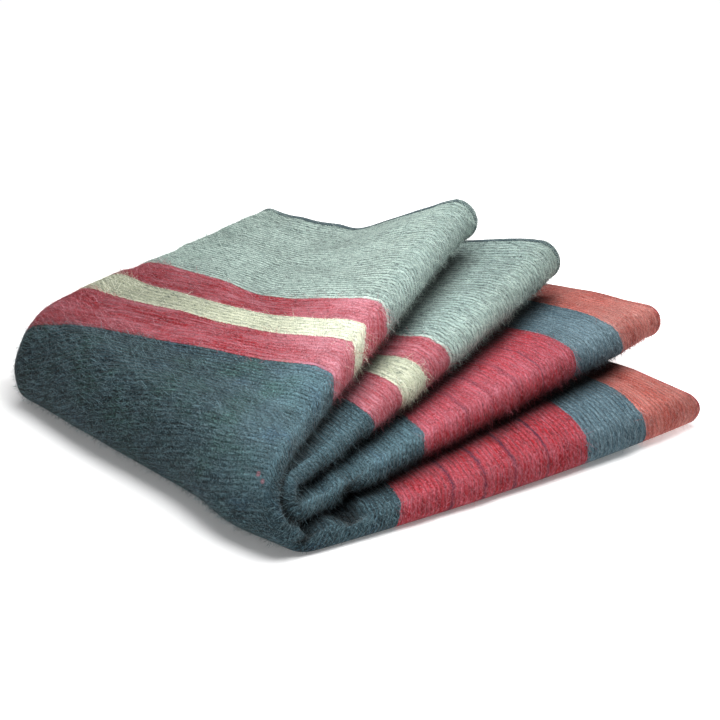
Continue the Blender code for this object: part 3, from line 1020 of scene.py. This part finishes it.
def pile_material():
    t = Tree("brushed_alpaca_pile")
    u, raw = t.uv()
    v = t.math("PINGPONG", raw, HALF_LENGTH)
    shade, tip = t.uv("strand")
    body, pale = t.steps(v, bands("body")), t.steps(v, bands("pale"))
    deep = t.steps(v, bands("deep"))
    colour = t.mix(t.range(shade, 0.0, 0.35, 0.0, 1.0), deep, body)
    colour = t.mix(t.range(shade, 0.45, 1.0, 0.0, 0.8), colour, pale)
    colour = t.mix(t.range(tip, 0.5, 1.0, 0.0, 0.10), colour, linear(214, 220, 216))
    near, painted_sheen = t.uv("fold")
    # The same painted crevice shade darkens the hairs.
    t.put(t.shader.inputs["Base Color"], t.with_painted_shade(colour, near))
    t.put(t.shader.inputs["Roughness"], t.range(shade, 0.0, 1.0, 0.85, 0.65))
    t.shader.inputs["Specular IOR Level"].default_value = 0.25
    t.shader.inputs["Sheen Weight"].default_value = 0.1
    t.shader.inputs["Sheen Tint"].default_value = (0.86, 0.90, 0.90, 1.0)
    ridge = t.math("SINE", t.math("MULTIPLY", tip, 40.0))
    bump = t.add("ShaderNodeBump")
    bump.inputs["Strength"].default_value = 0.15
    bump.inputs["Distance"].default_value = 0.0002
    t.put(bump.inputs["Height"], ridge)
    t.put(t.shader.inputs["Normal"], bump.outputs[0])
    return t.mat


def thread_material():
    t = Tree("overlock_thread")
    u, v = t.uv()
    twist = t.math(
        "SINE",
        t.math("ADD", t.math("MULTIPLY", v, 9000.0), t.math("MULTIPLY", u, 2500.0)),
    )
    fuzz = t.noise(t.vector(t.math("MULTIPLY", u, 900.0), t.math("MULTIPLY", v, 900.0)), 1.0, 2.0)
    colour = t.mix(t.range(fuzz, 0.3, 0.7, 0.0, 1.0), linear(44, 62, 68), linear(74, 96, 100))
    t.put(t.shader.inputs["Base Color"], colour)
    t.put(t.shader.inputs["Roughness"], t.range(fuzz, 0.2, 0.8, 0.9, 0.7))
    t.shader.inputs["Specular IOR Level"].default_value = 0.25
    t.shader.inputs["Sheen Weight"].default_value = 0.25
    bump = t.add("ShaderNodeBump")
    bump.inputs["Strength"].default_value = 0.4
    bump.inputs["Distance"].default_value = 0.0003
    t.put(bump.inputs["Height"], t.math("ADD", twist, fuzz))
    t.put(t.shader.inputs["Normal"], bump.outputs[0])
    return t.mat


# ------------------------------------------------------------------ the object
middle, uv, outer_rows = plies()
cloth, front, outward, fold = cloth_sheet(middle, uv, outer_rows)
cloth.data.materials.append(cloth_material())
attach(cloth, "root")
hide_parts("blanket")

hair = pile_material()
pieces = []
Pile = collections.namedtuple("Pile", "count length width lift stray")
PILES = [
    Pile(28000, 0.0055, 0.00013, 0.0007, 0.02),
    Pile(22000, 0.0090, 0.00012, 0.0009, 0.04),
    Pile(7000, 0.018, 0.00012, 0.0012, 0.08),
    Pile(47000, 0.0065, 0.00017, 0.0015, 0.65),
    Pile(42000, 0.0105, 0.00018, 0.0024, 0.80),
]
for n, made in enumerate(PILES):
    tuft = pile(
        front,
        outward,
        uv,
        fold,
        outer_rows,
        count=made.count,
        seed=20 + n,
        name=f"pile_{n + 1}",
        length=made.length,
        width=made.width,
        lift=made.lift,
        stray=made.stray,
    )
    tuft.data.materials.append(hair)
    pieces.append(tuft)

thread = thread_material()
for name, row, step in (("overlock_outer", 0, 1), ("overlock_inner", -1, -1)):
    edge = middle[row]
    stitch = overlock(name, edge, middle[row + step] - edge, outward[row])
    stitch.data.materials.append(thread)
    pieces.append(stitch)

for piece in pieces:
    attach(piece, "root")

# ------------------------------------------------------------------ the room
def floor_and_light():
    bpy.ops.mesh.primitive_grid_add(x_subdivisions=4, y_subdivisions=4, size=60.0, location=(0, 0, 0))
    floor = bpy.context.object
    floor.name = "floor"
    t = Tree("pale_floor")
    t.shader.inputs["Base Color"].default_value = (0.92, 0.92, 0.92, 1.0)
    t.shader.inputs["Roughness"].default_value = 0.9
    t.shader.inputs["Specular IOR Level"].default_value = 0.1
    # Painted light: the floor glows so that it reads white, and the glow fades under and round the blanket, a painted
    # soft shadow there.
    where = t.add("ShaderNodeTexCoord")
    split = t.add("ShaderNodeSeparateXYZ")
    t.put(split.inputs[0], where.outputs["Object"])
    away = [
        t.math("MAXIMUM", t.math("SUBTRACT", t.math("ABSOLUTE", t.math("SUBTRACT", split.outputs[k], at)), size), 0.0)
        for k, at, size in ((0, -0.0675, 0.2175), (1, -0.03, 0.24))
    ]
    far = t.math("SQRT", t.math("ADD", t.math("MULTIPLY", away[0], away[0]), t.math("MULTIPLY", away[1], away[1])))
    t.shader.inputs["Emission Color"].default_value = (1.0, 1.0, 1.0, 1.0)
    t.put(t.shader.inputs["Emission Strength"], t.math("MULTIPLY", t.math("POWER", t.range(far, -0.012, 0.18, 0.0, 1.0), 0.6), 0.9))
    floor.data.materials.append(t.mat)

    world = bpy.data.worlds.new("studio")
    bpy.context.scene.world = world
    world.use_nodes = True
    back = world.node_tree.nodes["Background"]
    back.inputs["Color"].default_value = (1.0, 1.0, 1.0, 1.0)
    back.inputs["Strength"].default_value = 0.08

    # (name, position, aim, size, watts)
    for name, at, aim, size, watts in (
        ("above", (0.04, -0.04, 0.72), (-0.02, -0.05, 0.08), 0.90, 9.3),
        ("near_corner", (-0.10, -0.26, 0.52), (-0.08, -0.12, 0.08), 0.40, 1.9),
        ("left_front", (-0.70, -0.70, 0.60), (-0.10, -0.10, 0.06), 0.80, 0.5),
    ):
        light = bpy.data.lights.new(name, "AREA")
        light.shape = "SQUARE"
        light.size = size
        light.energy = watts
        lamp = bpy.data.objects.new(name, light)
        lamp.location = at
        lamp.rotation_euler = (Vector(aim) - Vector(at)).to_track_quat("-Z", "Y").to_euler()
        bpy.context.scene.collection.objects.link(lamp)


def camera():
    lens = bpy.data.cameras.new("photo_view")
    lens.lens = 100.0
    lens.sensor_width = 36.0
    lens.clip_start, lens.clip_end = 0.1, 50.0
    view = bpy.data.objects.new("photo_view", lens)
    view.location = (-0.78636 - FOOT_X, -1.33791 - FOOT_Y, 0.87167)
    view.rotation_euler = Euler((math.radians(66.0), 0.0, math.radians(-32.734)))
    bpy.context.scene.collection.objects.link(view)
    bpy.context.scene.camera = view


floor_and_light()
camera()
bpy.context.scene.view_settings.view_transform = "Standard"
bpy.context.scene.view_settings.look = "None"
